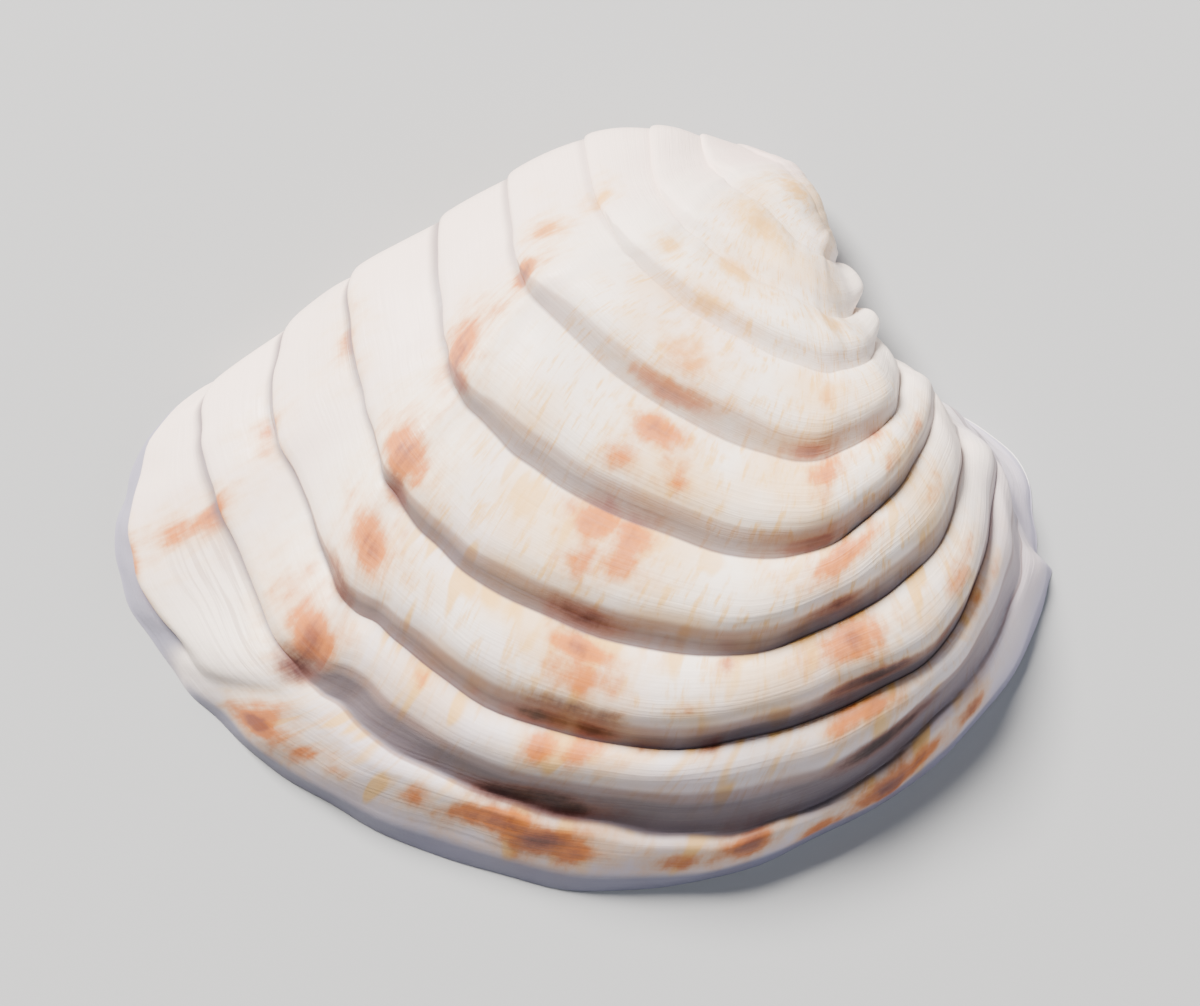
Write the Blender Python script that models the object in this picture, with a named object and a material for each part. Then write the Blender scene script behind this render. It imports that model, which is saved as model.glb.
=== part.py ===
"""Venus clam, right valve, lying open side down on its flat rim.

A thick-walled shell half with bold concentric ridges. It is laid up the way the animal grew
it: growth lines from the beak out to the rim, a raised ridge between each pair, a hollow for
the body and a hinge plate with three teeth. Metres, +X to the front end of the animal, +Y to
the hinge side, +Z up, rim on Z = 0.
"""
import math

import bmesh
import bpy
import numpy as np
from mathutils import Matrix, Vector

MM = 0.001
CENTRE = (-0.05995, 0.07717)       # moves the shell so that the origin is under its middle, mm

GROWTH_RATE = 0.97                 # how fast a growth line widens per radian of coil
# how far each station of the rim stands off the coiling line through the beak, mm
STAND_OFF = (0.0, 10.4, 16.9, 20.8, 23.8, 25.0, 25.7, 26.0, 24.8, 21.0, 13.5, 10.0, 6.5, 0.0)
FULLNESS = 0.25                    # extra steepness of the flank close to the rim
# growth lines in plan, mm: coil angle, then hinge end, back slope, keel, belly, front, lunule
GROWTH_LINES = (
    (0.000, ((-12.3, 5.5), (-15.8, 3.7), (-17.6, 0.8), (-17.8, -2.4), (-15.9, -6.1),
             (-12.6, -9.3), (-7.0, -12.8), (0.7, -14.6), (8.4, -13.0), (14.9, -8.4),
             (18.0, -2.95), (17.4, -1.7), (17.0, 1.5), (13.8, 3.95))),
    (0.050, ((-12.1, 5.6), (-15.3, 3.9), (-16.9, 0.7), (-16.8, -2.5), (-14.5, -5.9),
             (-12.0, -8.7), (-6.6, -11.5), (1.4, -13.3), (8.8, -12.0), (14.8, -7.6),
             (17.5, -2.5), (17.05, -1.2), (16.5, 1.7), (13.6, 3.95))),
    (0.145, ((-11.2, 6.0), (-14.2, 4.5), (-14.3, 2.0), (-13.5, -0.9), (-11.1, -5.6),
             (-9.0, -7.4), (-5.0, -9.5), (2.6, -10.9), (9.6, -9.4), (14.7, -5.3),
             (16.4, -1.4), (16.2, 0.7), (15.2, 2.8), (13.2, 4.1))),
    (0.225, ((-9.5, 7.1), (-11.3, 6.7), (-11.7, 3.7), (-10.8, 0.9), (-9.2, -3.1),
             (-7.4, -4.8), (-3.8, -7.5), (3.7, -9.2), (10.1, -7.5), (14.3, -4.3),
             (15.7, 0.6), (15.4, 2.2), (14.4, 3.6), (12.5, 4.4))),
    (0.375, ((-7.0, 8.3), (-8.6, 8.8), (-8.7, 6.2), (-8.0, 3.4), (-7.3, 0.8),
             (-5.8, -1.2), (-2.3, -3.9), (4.4, -5.7), (9.8, -4.4), (13.3, -1.6),
             (14.4, 1.9), (14.1, 3.1), (13.2, 4.3), (11.8, 5.0))),
    (0.555, ((-4.3, 9.5), (-5.4, 10.8), (-5.3, 7.9), (-5.1, 5.8), (-4.6, 4.1),
             (-3.2, 2.4), (-0.1, 0.2), (5.9, -2.1), (10.0, -1.1), (12.4, 1.3),
             (13.3, 3.8), (13.0, 4.7), (12.1, 5.3), (10.9, 5.9))),
    (0.760, ((-1.6, 10.5), (-2.8, 12.5), (-2.6, 10.1), (-2.4, 8.8), (-1.9, 7.7),
             (-0.6, 6.4), (2.2, 4.0), (7.2, 1.6), (9.8, 1.9), (11.6, 3.2),
             (12.0, 4.8), (11.8, 5.6), (11.1, 6.2), (10.2, 6.9))),
    (1.000, ((0.9, 11.3), (0.1, 13.9), (0.4, 11.9), (0.9, 10.6), (1.5, 9.5),
             (2.5, 8.4), (4.6, 6.8), (8.1, 5.0), (9.7, 4.9), (10.75, 5.3),
             (11.05, 6.2), (10.85, 6.7), (10.4, 7.2), (9.6, 7.8))),
    (1.250, ((3.2, 11.8), (2.6, 14.35), (2.6, 12.9), (2.9, 11.7), (3.5, 10.7),
             (4.3, 9.9), (5.7, 8.8), (7.8, 7.7), (9.0, 7.1), (9.85, 6.95),
             (10.3, 7.35), (10.2, 7.8), (9.8, 8.2), (9.2, 8.6))),
    (1.600, ((5.0, 11.9), (4.5, 14.1), (4.6, 13.4), (4.9, 12.75), (5.35, 12.25),
             (5.95, 11.8), (7.0, 11.05), (8.0, 10.0), (8.85, 9.45), (9.35, 9.25),
             (9.6, 9.25), (9.5, 9.25), (9.3, 9.3), (8.9, 9.4))),
    (2.000, ((6.2, 11.7), (5.95, 13.7), (6.55, 13.6), (7.25, 13.3), (7.8, 12.95),
             (8.2, 12.55), (8.7, 11.95), (9.1, 11.1), (9.35, 10.45), (9.6, 10.0),
             (9.7, 9.65), (9.6, 9.65), (9.3, 9.75), (8.8, 9.9))),
    (2.450, ((7.4, 11.4), (7.25, 13.2), (7.65, 13.05), (7.95, 12.8), (8.25, 12.5),
             (8.55, 12.1), (8.85, 11.6), (9.15, 11.0), (9.35, 10.5), (9.5, 10.15),
             (9.55, 9.85), (9.4, 9.8), (9.1, 9.95), (8.7, 10.15))),
)
BEAK = (8.9, 10.8)                 # tip of the beak in plan, mm
BEAK_COIL = 3.1                    # coil angle left off at the beak

# ridges: coil angles of the grooves between them, oldest first
GROOVES = (2.9, 2.4, 1.95, 1.6, 1.25, 1.0, 0.76, 0.555, 0.375, 0.225, 0.145)
RIDGE_SHRINK = 0.6                 # how fast ridges grow lower towards the beak
# at each station: ridge height in mm, place of its crest across it, and how steeply it rises and falls
RIDGE_HEIGHT = (0.0, 0.28, 0.42, 0.62, 0.92, 1.18, 1.32, 1.34, 1.30, 1.05, 0.42, 0.0, 0.0, 0.0)
CREST = (0.85, 0.88, 0.89, 0.88, 0.74, 0.63, 0.56, 0.53, 0.53, 0.57, 0.66, 0.60, 0.50, 0.50)
RISE = (1.2, 1.2, 1.2, 1.1, 0.75, 0.62, 0.6, 0.6, 0.6, 0.6, 0.6, 0.6, 0.6, 0.6)
FALL = (0.4, 0.4, 0.4, 0.4, 0.8, 1.3, 1.6, 1.7, 1.6, 1.4, 1.1, 0.8, 0.8, 0.8)
# the lip by the rim: its height in mm and the coil angle where it starts
LIP_HEIGHT = (0.6, 0.6, 0.6, 0.6, 0.60, 0.68, 0.68, 0.65, 0.65, 0.50, 0.12, 0.0, 0.0, 0.0)
LIP_START = (0.145, 0.145, 0.145, 0.145, 0.145, 0.140, 0.121,
             0.084, 0.077, 0.090, 0.126, 0.130, 0.130, 0.130)
SCALE_EDGE = 0.043                 # coil angle of the free edge of the last scale, behind the keel
# how far the ridges lean out of the vertical, up to 1 along the surface's own normal
LEAN = (1.0, 1.0, 1.0, 1.0, 0.60, 0.35, 0.30, 0.30, 0.30, 0.50, 0.75, 1.0, 1.0, 1.0)
TIP_REACH = 0.62                   # how far the oldest ridges stick out at the front, mm
SCALE_BAND = (3.65, 4.35)          # stations between which the scales of the back turn into rolls
LAST_SCALE = 0.8                   # height of the last scale beside the others
LAST_ROLL = 0.85                   # height of the last roll beside the others
LAST_ROLL_SHAPE = (0.33, 0.5, 2.1)   # its crest, rise and fall: it runs out in a wide channel
LIP_SHAPE = (0.20, 0.75, 1.1)
LIP_OVERRUN = 0.01                 # coil angle by which the lip's slope runs on below the rim
BEAK_FADE = (1.65, 2.45)           # coil angles between which the ridges die out towards the beak
TIP_WIDTH = 0.42                   # reach of a ridge's front tip along the rim, in stations
TIP_COILS = (0.75, 1.2, 1.6)       # coil angles where the tips begin, are full and stop
KEEL_RISE = 0.35                   # low crease where the back slope turns into the belly, mm
KEEL_DIP = 0.25                    # shallow trough behind it, mm
KEEL_WIDTHS = (0.3, 0.45)          # widths of crease and trough, in stations
KEEL_TROUGH = 0.8                  # how far behind the crease the trough lies, in stations
KEEL_FADE = 1.3                    # how fast both die out towards the beak
KEEL_START = 0.15                  # coil angle over which both rise from the rim

# the hollow for the body: rim of the hollow in plan, its deepest point and its depth, mm
HOLLOW_RIM = ((-11.5, 3.7), (-14.4, 2.7), (-16.1, 0.5), (-16.3, -2.2), (-14.7, -5.2), (-11.7, -8.1),
              (-6.4, -11.4), (0.7, -13.1), (7.8, -11.5), (12.9, -7.9), (15.2, -3.6), (14.2, -1.0),
              (12.8, 0.7), (11.3, 2.0), (9.6, 3.9), (7.3, 5.8), (3.5, 7.0), (-1.5, 6.7), (-7.0, 5.1))
HOLLOW_TOP = (5.0, 2.2)
HOLLOW_DEPTH = 6.0
HOLLOW_ROUND = 2.05
HINGE = (8.0, 10.8)                # the hinge teeth fan out from here
# sockets between the hinge teeth: bearing in degrees, start, length, width, depth, mm
SOCKETS = ((-79.0, 1.3, 2.8, 0.9, 0.9), (-104.0, 1.4, 2.7, 1.0, 1.0),
           (-129.0, 1.4, 2.8, 1.0, 1.0), (-152.0, 1.7, 4.4, 0.9, 0.8))

# stations of the columns of faces, closer together at the keel and at the front tips
ACROSS = (0.0, 0.35, 0.7, 1.0, 1.5, 2.0, 2.5, 3.0, 3.4, 3.7, 4.0, 4.3, 4.65, 5.0, 5.3, 5.65, 6.0, 6.33,
          6.66, 7.0, 7.33, 7.66, 8.0, 8.33, 8.66, 9.0, 9.25, 9.5, 9.7, 9.85, 10.0, 10.15, 10.3, 10.6,
          11.0, 11.5, 12.0, 12.5, 13.0)
TIP_STATION = 10.0                 # station where the ridges end, at the lunule
KEEL_STATION = 4.0
STEPS = (0.0, 0.06, 0.18, 0.34, 0.5, 0.66, 0.82, 0.94)   # places of the rows across one ridge
# coil angles of the rows from the last full groove to the rim
LAST_ROWS = (0.225, 0.219, 0.208, 0.193, 0.178, 0.163, 0.15, 0.145, 0.138, 0.125, 0.115, 0.105,
             0.096, 0.089, 0.081, 0.075, 0.068, 0.06, 0.052, 0.046, 0.043, 0.034, 0.022, 0.011, 0.0)


def spline(knots, values, at):
    """Natural cubic through the knots, for any number of value columns."""
    knots, values, at = np.asarray(knots, float), np.asarray(values, float), np.asarray(at, float)
    n = len(knots)
    gap = np.diff(knots)
    shape = (n - 1,) + (1,) * (values.ndim - 1)
    slope = np.diff(values, axis=0) / gap.reshape(shape)
    m = np.zeros((n, n))
    m[0, 0] = m[-1, -1] = 1.0
    rhs = np.zeros(values.shape)
    for i in range(1, n - 1):
        m[i, i - 1:i + 2] = gap[i - 1], 2 * (gap[i - 1] + gap[i]), gap[i]
        rhs[i] = 6 * (slope[i] - slope[i - 1])
    bend = np.linalg.solve(m, rhs.reshape(n, -1)).reshape(values.shape)
    k = np.clip(np.searchsorted(knots, at, side="right") - 1, 0, n - 2)
    h = gap[k]
    a, b = (knots[k + 1] - at) / h, (at - knots[k]) / h
    grow = (slice(None),) + (None,) * (values.ndim - 1)
    a, b, h = a[grow], b[grow], h[grow]
    return (a * values[k] + b * values[k + 1]
            + ((a ** 3 - a) * bend[k] + (b ** 3 - b) * bend[k + 1]) * h * h / 6)


def growth_surface(coil, across):
    """Bare shell without ridges: rows by coil angle, columns by station, mm."""
    angles = [line[0] for line in GROWTH_LINES] + [math.pi]
    plan = [line[1] for line in GROWTH_LINES] + [(BEAK,) * len(STAND_OFF)]
    rows = spline(angles, plan, coil)
    stations = np.arange(len(STAND_OFF))
    xy = spline(stations, np.moveaxis(rows, 1, 0), across)
    lift = np.maximum(spline(stations, STAND_OFF, across), 0.0)
    coil = np.asarray(coil)
    rise = np.exp(-GROWTH_RATE * coil) * np.sin(coil) * (1 + FULLNESS * np.exp(-4 * coil))
    z = lift[:, None] * rise[None, :]
    return np.concatenate([xy, z[..., None]], -1)


def roll(u, crest, rise, fall):
    """Cross-section of a ridge, 0 to 1: a rounded roll, or a flat scale with a sharp edge."""
    up = np.sin(0.5 * math.pi * np.clip(u / crest, 0, 1)) ** rise
    down = np.cos(0.5 * math.pi * np.clip((u - crest) / (1 - crest), 0, 1)) ** fall
    return np.where((u <= 0) | (u >= 1), 0.0, np.where(u < crest, up, down))


def by_station(values, across):
    return np.interp(across, np.arange(len(values)), values)


def ridge_relief(coil, across):
    """Height of the ridges over the bare shell, and their reach sideways at the front, mm."""
    high, lip_high = by_station(RIDGE_HEIGHT, across), by_station(LIP_HEIGHT, across)
    crest, rise, fall = by_station(CREST, across), by_station(RISE, across), by_station(FALL, across)
    lip_start = by_station(LIP_START, across)
    scaly = np.clip((SCALE_BAND[1] - across) / (SCALE_BAND[1] - SCALE_BAND[0]), 0, 1)
    tip = TIP_REACH * np.exp(-((across - TIP_STATION) / TIP_WIDTH) ** 2)
    crease = (KEEL_RISE * np.exp(-((across - KEEL_STATION) / KEEL_WIDTHS[0]) ** 2)
              - KEEL_DIP * np.exp(-((across - KEEL_STATION + KEEL_TROUGH) / KEEL_WIDTHS[1]) ** 2))
    height = np.zeros((len(across), len(coil)))
    reach = np.zeros_like(height)
    for j, angle in enumerate(coil):
        fade = (BEAK_FADE[1] - angle) / (BEAK_FADE[1] - BEAK_FADE[0])
        size = math.exp(-RIDGE_SHRINK * angle) * min(1.0, max(0.0, fade))
        for first, last in zip(GROOVES, GROOVES[1:-1]):
            if last < angle < first:
                ridge = roll(np.full(len(across), (first - angle) / (first - last)), crest, rise, fall)
                height[:, j] = high * size * ridge
                if TIP_COILS[0] < angle < TIP_COILS[2]:
                    grown = (angle - TIP_COILS[0]) / (TIP_COILS[1] - TIP_COILS[0])
                    reach[:, j] = tip * ridge * min(1.0, grown)
        if angle <= GROOVES[-2]:
            # behind the keel one more scale, then the last scale with its free edge over the rim
            first, last = GROOVES[-2:] if angle > GROOVES[-1] else (GROOVES[-1], SCALE_EDGE)
            scale = roll(np.full(len(across), (first - angle) / (first - last)), crest, rise, fall)
            scale *= 1.0 if angle > GROOVES[-1] else LAST_SCALE
            # before the keel a roll that runs out in a wide channel, then the lip
            wide = roll((GROOVES[-2] - angle) / (GROOVES[-2] - lip_start), *LAST_ROLL_SHAPE)
            lip = roll((lip_start - angle) / (lip_start + LIP_OVERRUN), *LIP_SHAPE)
            front = LAST_ROLL * high * wide + lip_high * lip
            height[:, j] = size * (scaly * high * scale + (1 - scaly) * front)
        height[:, j] += crease * math.exp(-KEEL_FADE * angle) * min(1.0, angle / KEEL_START)
    return height, reach


def shell_points(coil, across):
    """Points of the outer face with its ridges, in metres."""
    coil, step = np.asarray(coil), 1e-3
    base = growth_surface(coil, across)
    after, before = np.minimum(across + step, len(STAND_OFF) - 1), np.maximum(across - step, 0)
    ds = growth_surface(coil, after) - growth_surface(coil, before)
    dt = growth_surface(coil + step, across) - growth_surface(coil - step, across)
    normal = np.cross(ds, dt)
    normal /= np.maximum(np.linalg.norm(normal, axis=-1, keepdims=True), 1e-12)
    level = normal * (1.0, 1.0, 0.0)
    level /= np.maximum(np.linalg.norm(level, axis=-1, keepdims=True), 1e-12)
    lean = by_station(LEAN, across)[:, None, None]
    direction = normal * lean + np.array((0.0, 0.0, 1.0)) * (1 - lean)
    height, reach = ridge_relief(coil, across)
    points = base + direction * height[..., None] + level * reach[..., None]
    points[..., 2] = np.maximum(points[..., 2], 0.0)
    points[:, coil <= 0.0, 2] = 0.0
    return (points + np.array((CENTRE[0], CENTRE[1], 0.0))) * MM


def coil_rows():
    rows = []
    for first, last in zip(GROOVES, GROOVES[1:-1]):
        few = STEPS if first < 2.0 else STEPS[::2]
        rows += [first + (last - first) * u for u in few]
    return [BEAK_COIL, 3.0] + rows + list(LAST_ROWS)


def new_object(name, bm, collection, material=None):
    bmesh.ops.recalc_face_normals(bm, faces=bm.faces)
    mesh = bpy.data.meshes.new(name)
    bm.to_mesh(mesh)
    bm.free()
    obj = bpy.data.objects.new(name, mesh)
    collection.objects.link(obj)
    if material:
        mesh.materials.append(material)
    return obj


def outer_solid():
    """The valve without its hollow: a grid laid over the growth lines, closed underneath."""
    coil, across = coil_rows(), np.array(ACROSS)
    points = shell_points(coil, across)
    bm = bmesh.new()
    bmesh.ops.create_grid(bm, x_segments=len(across) - 1, y_segments=len(coil) - 1, size=0.5)
    bm.verts.ensure_lookup_table()
    for v in bm.verts:
        i = round((v.co.x + 0.5) * (len(across) - 1))
        j = round((v.co.y + 0.5) * (len(coil) - 1))
        v.co = Vector(points[i, j])
    n, m = len(across), len(coil)
    bm.faces.new(bm.verts[:n])
    rim = bm.verts[(m - 1) * n:]
    front = [bm.verts[j * n + n - 1] for j in range(m - 2, -1, -1)]
    back = [bm.verts[j * n] for j in range(m - 1)]
    bm.faces.new(rim + front + back)
    return bm


def hollow_cutter():
    """A smooth bowl under the shell, drawn from its rim up to its deepest point."""
    rim = np.array(HOLLOW_RIM + HOLLOW_RIM[:1])
    n = len(HOLLOW_RIM)
    wrapped = np.vstack([rim[-4:-1], rim, rim[1:4]])
    edge = spline(np.arange(-3, n + 4), wrapped, np.linspace(0, n, 3 * n, endpoint=False))
    top = np.array(HOLLOW_TOP)
    bm = bmesh.new()
    loops = []
    for q in (None, 1.0, 0.94, 0.87, 0.78, 0.67, 0.54, 0.4, 0.25, 0.12):
        share = 1.0 if q is None else q
        z = -1.5 if q is None else HOLLOW_DEPTH * (1 - share ** HOLLOW_ROUND)
        plan = top + (edge - top) * share + np.array(CENTRE)
        ring = [bm.verts.new((x * MM, y * MM, z * MM)) for x, y in plan]
        loops.append([bm.edges.new((a, b)) for a, b in zip(ring, ring[1:] + ring[:1])])
    for a, b in zip(loops, loops[1:]):
        bmesh.ops.bridge_loops(bm, edges=a + b)
    bmesh.ops.edgenet_fill(bm, edges=loops[0])
    bmesh.ops.edgenet_fill(bm, edges=loops[-1])
    return bm


def socket_cutter():
    """Tapered blocks that leave the three hinge teeth standing between them."""
    bm = bmesh.new()
    for bearing, start, length, width, deep in SOCKETS:
        box = bmesh.ops.create_cube(bm, size=1.0)["verts"]
        for v in box:
            wide = 0.45 if v.co.x < 0 else 1.0
            slope = 0.7 if v.co.z > 0 else 1.0
            v.co = Vector((start + (v.co.x + 0.5) * length, v.co.y * width * wide * slope,
                           deep if v.co.z > 0 else -0.6)) * MM
        turn = Matrix.Rotation(math.radians(bearing), 4, "Z")
        place = Matrix.Translation(Vector((HINGE[0] + CENTRE[0], HINGE[1] + CENTRE[1], 0.0)) * MM)
        bmesh.ops.transform(bm, matrix=place @ turn, verts=box)
    return bm


def cut(target, cutter):
    mod = target.modifiers.new("Cut " + cutter.name, "BOOLEAN")
    mod.operation = "DIFFERENCE"
    mod.solver = "EXACT"
    mod.object = cutter


def shell_material():
    mat = bpy.data.materials.new("Shell")
    mat.use_nodes = True
    bsdf = mat.node_tree.nodes["Principled BSDF"]
    bsdf.inputs["Base Color"].default_value = (0.72, 0.62, 0.53, 1.0)
    bsdf.inputs["Roughness"].default_value = 0.42
    bsdf.inputs["IOR"].default_value = 1.55
    mat.diffuse_color = (0.72, 0.62, 0.53, 1.0)
    return mat


def build():
    for obj in list(bpy.data.objects):
        bpy.data.objects.remove(obj, do_unlink=True)
    scene = bpy.context.scene
    parts = bpy.data.collections.new("venus_clam_valve")
    cutters = bpy.data.collections.new("cutters")
    scene.collection.children.link(parts)
    scene.collection.children.link(cutters)
    valve = new_object("valve", outer_solid(), parts, shell_material())
    for name, bm in (("hollow", hollow_cutter()), ("sockets", socket_cutter())):
        tool = new_object(name, bm, cutters)
        tool.hide_render = True
        tool.display_type = "WIRE"
        cut(valve, tool)


build()
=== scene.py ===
"""Venus clam valve: a fine shell with grown ridges, rust-brown rays and a white inside."""
import math

import bmesh
import bpy
import numpy as np
from bpy.props import FloatProperty, FloatVectorProperty, IntProperty, PointerProperty
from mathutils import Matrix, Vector


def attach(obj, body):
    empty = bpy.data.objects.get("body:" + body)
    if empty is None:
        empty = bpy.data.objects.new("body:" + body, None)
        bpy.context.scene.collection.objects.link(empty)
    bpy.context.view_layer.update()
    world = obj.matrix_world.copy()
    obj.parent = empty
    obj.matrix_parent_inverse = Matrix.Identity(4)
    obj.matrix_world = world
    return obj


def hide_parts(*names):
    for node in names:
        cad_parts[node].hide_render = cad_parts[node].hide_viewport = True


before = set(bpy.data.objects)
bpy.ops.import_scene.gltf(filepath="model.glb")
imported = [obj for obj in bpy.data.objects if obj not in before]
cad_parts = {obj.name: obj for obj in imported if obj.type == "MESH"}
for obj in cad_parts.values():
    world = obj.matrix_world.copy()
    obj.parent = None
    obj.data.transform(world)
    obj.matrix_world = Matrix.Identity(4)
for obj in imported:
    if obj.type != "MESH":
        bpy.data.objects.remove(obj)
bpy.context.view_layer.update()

bl_info = {
    "name": "Venus Clam Valve",
    "version": (1, 0, 0),
    "blender": (4, 5, 0),
    "location": "View3D > Sidebar > Clam",
    "description": "Grows one valve of a thick-ridged venus clam, with its markings and a small studio",
    "category": "Add Mesh",
}

MM = 0.001
PLAN_SHIFT = np.array((-0.05995, 0.07717))     # brings the middle of the shell over the origin, mm

# how far each station of the rim stands off the coiling line through the beak, mm
STAND_OFF = (0.0, 10.4, 16.9, 20.8, 23.8, 25.0, 25.7, 26.0, 24.8, 21.0, 13.5, 10.0, 6.5, 0.0)
LAST_STATION = len(STAND_OFF) - 1
# growth lines in plan, mm: coil angle, then hinge end, back slope, keel, belly, front, lunule
GROWTH_LINES = (
    (0.000, ((-12.3, 5.5), (-15.8, 3.7), (-17.6, 0.8), (-17.8, -2.4), (-15.9, -6.1),
             (-12.6, -9.3), (-7.0, -12.8), (0.7, -14.6), (8.4, -13.0), (14.9, -8.4),
             (18.0, -2.95), (17.4, -1.7), (17.0, 1.5), (13.8, 3.95))),
    (0.050, ((-12.1, 5.6), (-15.3, 3.9), (-16.9, 0.7), (-16.8, -2.5), (-14.5, -5.9),
             (-12.0, -8.7), (-6.6, -11.5), (1.4, -13.3), (8.8, -12.0), (14.8, -7.6),
             (17.5, -2.5), (17.05, -1.2), (16.5, 1.7), (13.6, 3.95))),
    (0.145, ((-11.2, 6.0), (-14.2, 4.5), (-14.3, 2.0), (-13.5, -0.9), (-11.1, -5.6),
             (-9.0, -7.4), (-5.0, -9.5), (2.6, -10.9), (9.6, -9.4), (14.7, -5.3),
             (16.4, -1.4), (16.2, 0.7), (15.2, 2.8), (13.2, 4.1))),
    (0.225, ((-9.5, 7.1), (-11.3, 6.7), (-11.7, 3.7), (-10.8, 0.9), (-9.2, -3.1),
             (-7.4, -4.8), (-3.8, -7.5), (3.7, -9.2), (10.1, -7.5), (14.3, -4.3),
             (15.7, 0.6), (15.4, 2.2), (14.4, 3.6), (12.5, 4.4))),
    (0.375, ((-7.0, 8.3), (-8.6, 8.8), (-8.7, 6.2), (-8.0, 3.4), (-7.3, 0.8),
             (-5.8, -1.2), (-2.3, -3.9), (4.4, -5.7), (9.8, -4.4), (13.3, -1.6),
             (14.4, 1.9), (14.1, 3.1), (13.2, 4.3), (11.8, 5.0))),
    (0.555, ((-4.3, 9.5), (-5.4, 10.8), (-5.3, 7.9), (-5.1, 5.8), (-4.6, 4.1),
             (-3.2, 2.4), (-0.1, 0.2), (5.9, -2.1), (10.0, -1.1), (12.4, 1.3),
             (13.3, 3.8), (13.0, 4.7), (12.1, 5.3), (10.9, 5.9))),
    (0.760, ((-1.6, 10.5), (-2.8, 12.5), (-2.6, 10.1), (-2.4, 8.8), (-1.9, 7.7),
             (-0.6, 6.4), (2.2, 4.0), (7.2, 1.6), (9.8, 1.9), (11.6, 3.2),
             (12.0, 4.8), (11.8, 5.6), (11.1, 6.2), (10.2, 6.9))),
    (1.000, ((0.9, 11.3), (0.1, 13.9), (0.4, 11.9), (0.9, 10.6), (1.5, 9.5),
             (2.5, 8.4), (4.6, 6.8), (8.1, 5.0), (9.7, 4.9), (10.75, 5.3),
             (11.05, 6.2), (10.85, 6.7), (10.4, 7.2), (9.6, 7.8))),
    (1.250, ((3.2, 11.8), (2.6, 14.35), (2.6, 12.9), (2.9, 11.7), (3.5, 10.7),
             (4.3, 9.9), (5.7, 8.8), (7.8, 7.7), (9.0, 7.1), (9.85, 6.95),
             (10.3, 7.35), (10.2, 7.8), (9.8, 8.2), (9.2, 8.6))),
    (1.600, ((5.0, 11.9), (4.5, 14.1), (4.6, 13.4), (4.9, 12.75), (5.35, 12.25),
             (5.95, 11.8), (7.0, 11.05), (8.0, 10.0), (8.85, 9.45), (9.35, 9.25),
             (9.6, 9.25), (9.5, 9.25), (9.3, 9.3), (8.9, 9.4))),
    (2.000, ((6.2, 11.7), (5.95, 13.7), (6.55, 13.6), (7.25, 13.3), (7.8, 12.95),
             (8.2, 12.55), (8.7, 11.95), (9.1, 11.1), (9.35, 10.45), (9.6, 10.0),
             (9.7, 9.65), (9.6, 9.65), (9.3, 9.75), (8.8, 9.9))),
    (2.450, ((7.4, 11.4), (7.25, 13.2), (7.65, 13.05), (7.95, 12.8), (8.25, 12.5),
             (8.55, 12.1), (8.85, 11.6), (9.15, 11.0), (9.35, 10.5), (9.5, 10.15),
             (9.55, 9.85), (9.4, 9.8), (9.1, 9.95), (8.7, 10.15))),
)
BEAK = (8.9, 10.8)                           # tip of the beak in plan, mm
BEAK_ROWS = (3.1, 3.0)                       # coil angles of the rows that close the beak

# ridges: coil angles of the grooves between them, oldest first
GROOVES = (2.9, 2.4, 1.95, 1.6, 1.25, 1.0, 0.76, 0.555, 0.375, 0.225, 0.145)
# at each station: ridge height in mm, place of its crest across it, and how steeply it rises and falls
RIDGE_HEIGHT = (0.0, 0.28, 0.42, 0.62, 0.92, 1.18, 1.32, 1.34, 1.30, 1.05, 0.42, 0.0, 0.0, 0.0)
CREST = (0.85, 0.88, 0.89, 0.88, 0.74, 0.63, 0.56, 0.53, 0.53, 0.57, 0.66, 0.60, 0.50, 0.50)
RISE = (1.2, 1.2, 1.2, 1.1, 0.75, 0.62, 0.60, 0.60, 0.60, 0.60, 0.60, 0.60, 0.60, 0.60)
FALL = (0.4, 0.4, 0.4, 0.4, 0.8, 1.3, 1.6, 1.7, 1.6, 1.4, 1.1, 0.8, 0.8, 0.8)
# the lip by the rim: its height in mm and the coil angle where it starts
LIP_HEIGHT = (0.6, 0.6, 0.6, 0.6, 0.60, 0.68, 0.68, 0.65, 0.65, 0.50, 0.12, 0.0, 0.0, 0.0)
LIP_START = (0.145, 0.145, 0.145, 0.145, 0.145, 0.140, 0.121,
             0.084, 0.077, 0.090, 0.126, 0.130, 0.130, 0.130)
# how far the ridges lean out of the vertical, up to 1 along the surface's own normal
LEAN = (1.0, 1.0, 1.0, 1.0, 0.60, 0.35, 0.30, 0.30, 0.30, 0.50, 0.75, 1.0, 1.0, 1.0)
STATION_ROUNDING = 0.45                      # stations over which the tables are rounded off
RIDGE_WAVER = ((0.06, 2.1, 1.7), (0.04, 5.3, 1.0))   # share, radians per station and per ridge
BEAK_FADE = (1.65, 2.45)                     # coil angles between which the ridges die out
FLANK_START = 0.10                           # from a ridge's crest to its steep side, as a share of its width

TIP_STATION = 10.0                           # station where the ridges end, at the lunule
TIP_WIDTH = 0.42                             # reach of a ridge's front tip along the rim, in stations
TIP_REACH = 0.62                             # how far the oldest ridges stick out at the front, mm
TIP_COILS = (0.75, 1.2, 1.6)                 # coil angles where the tips begin, are full and stop

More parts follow.
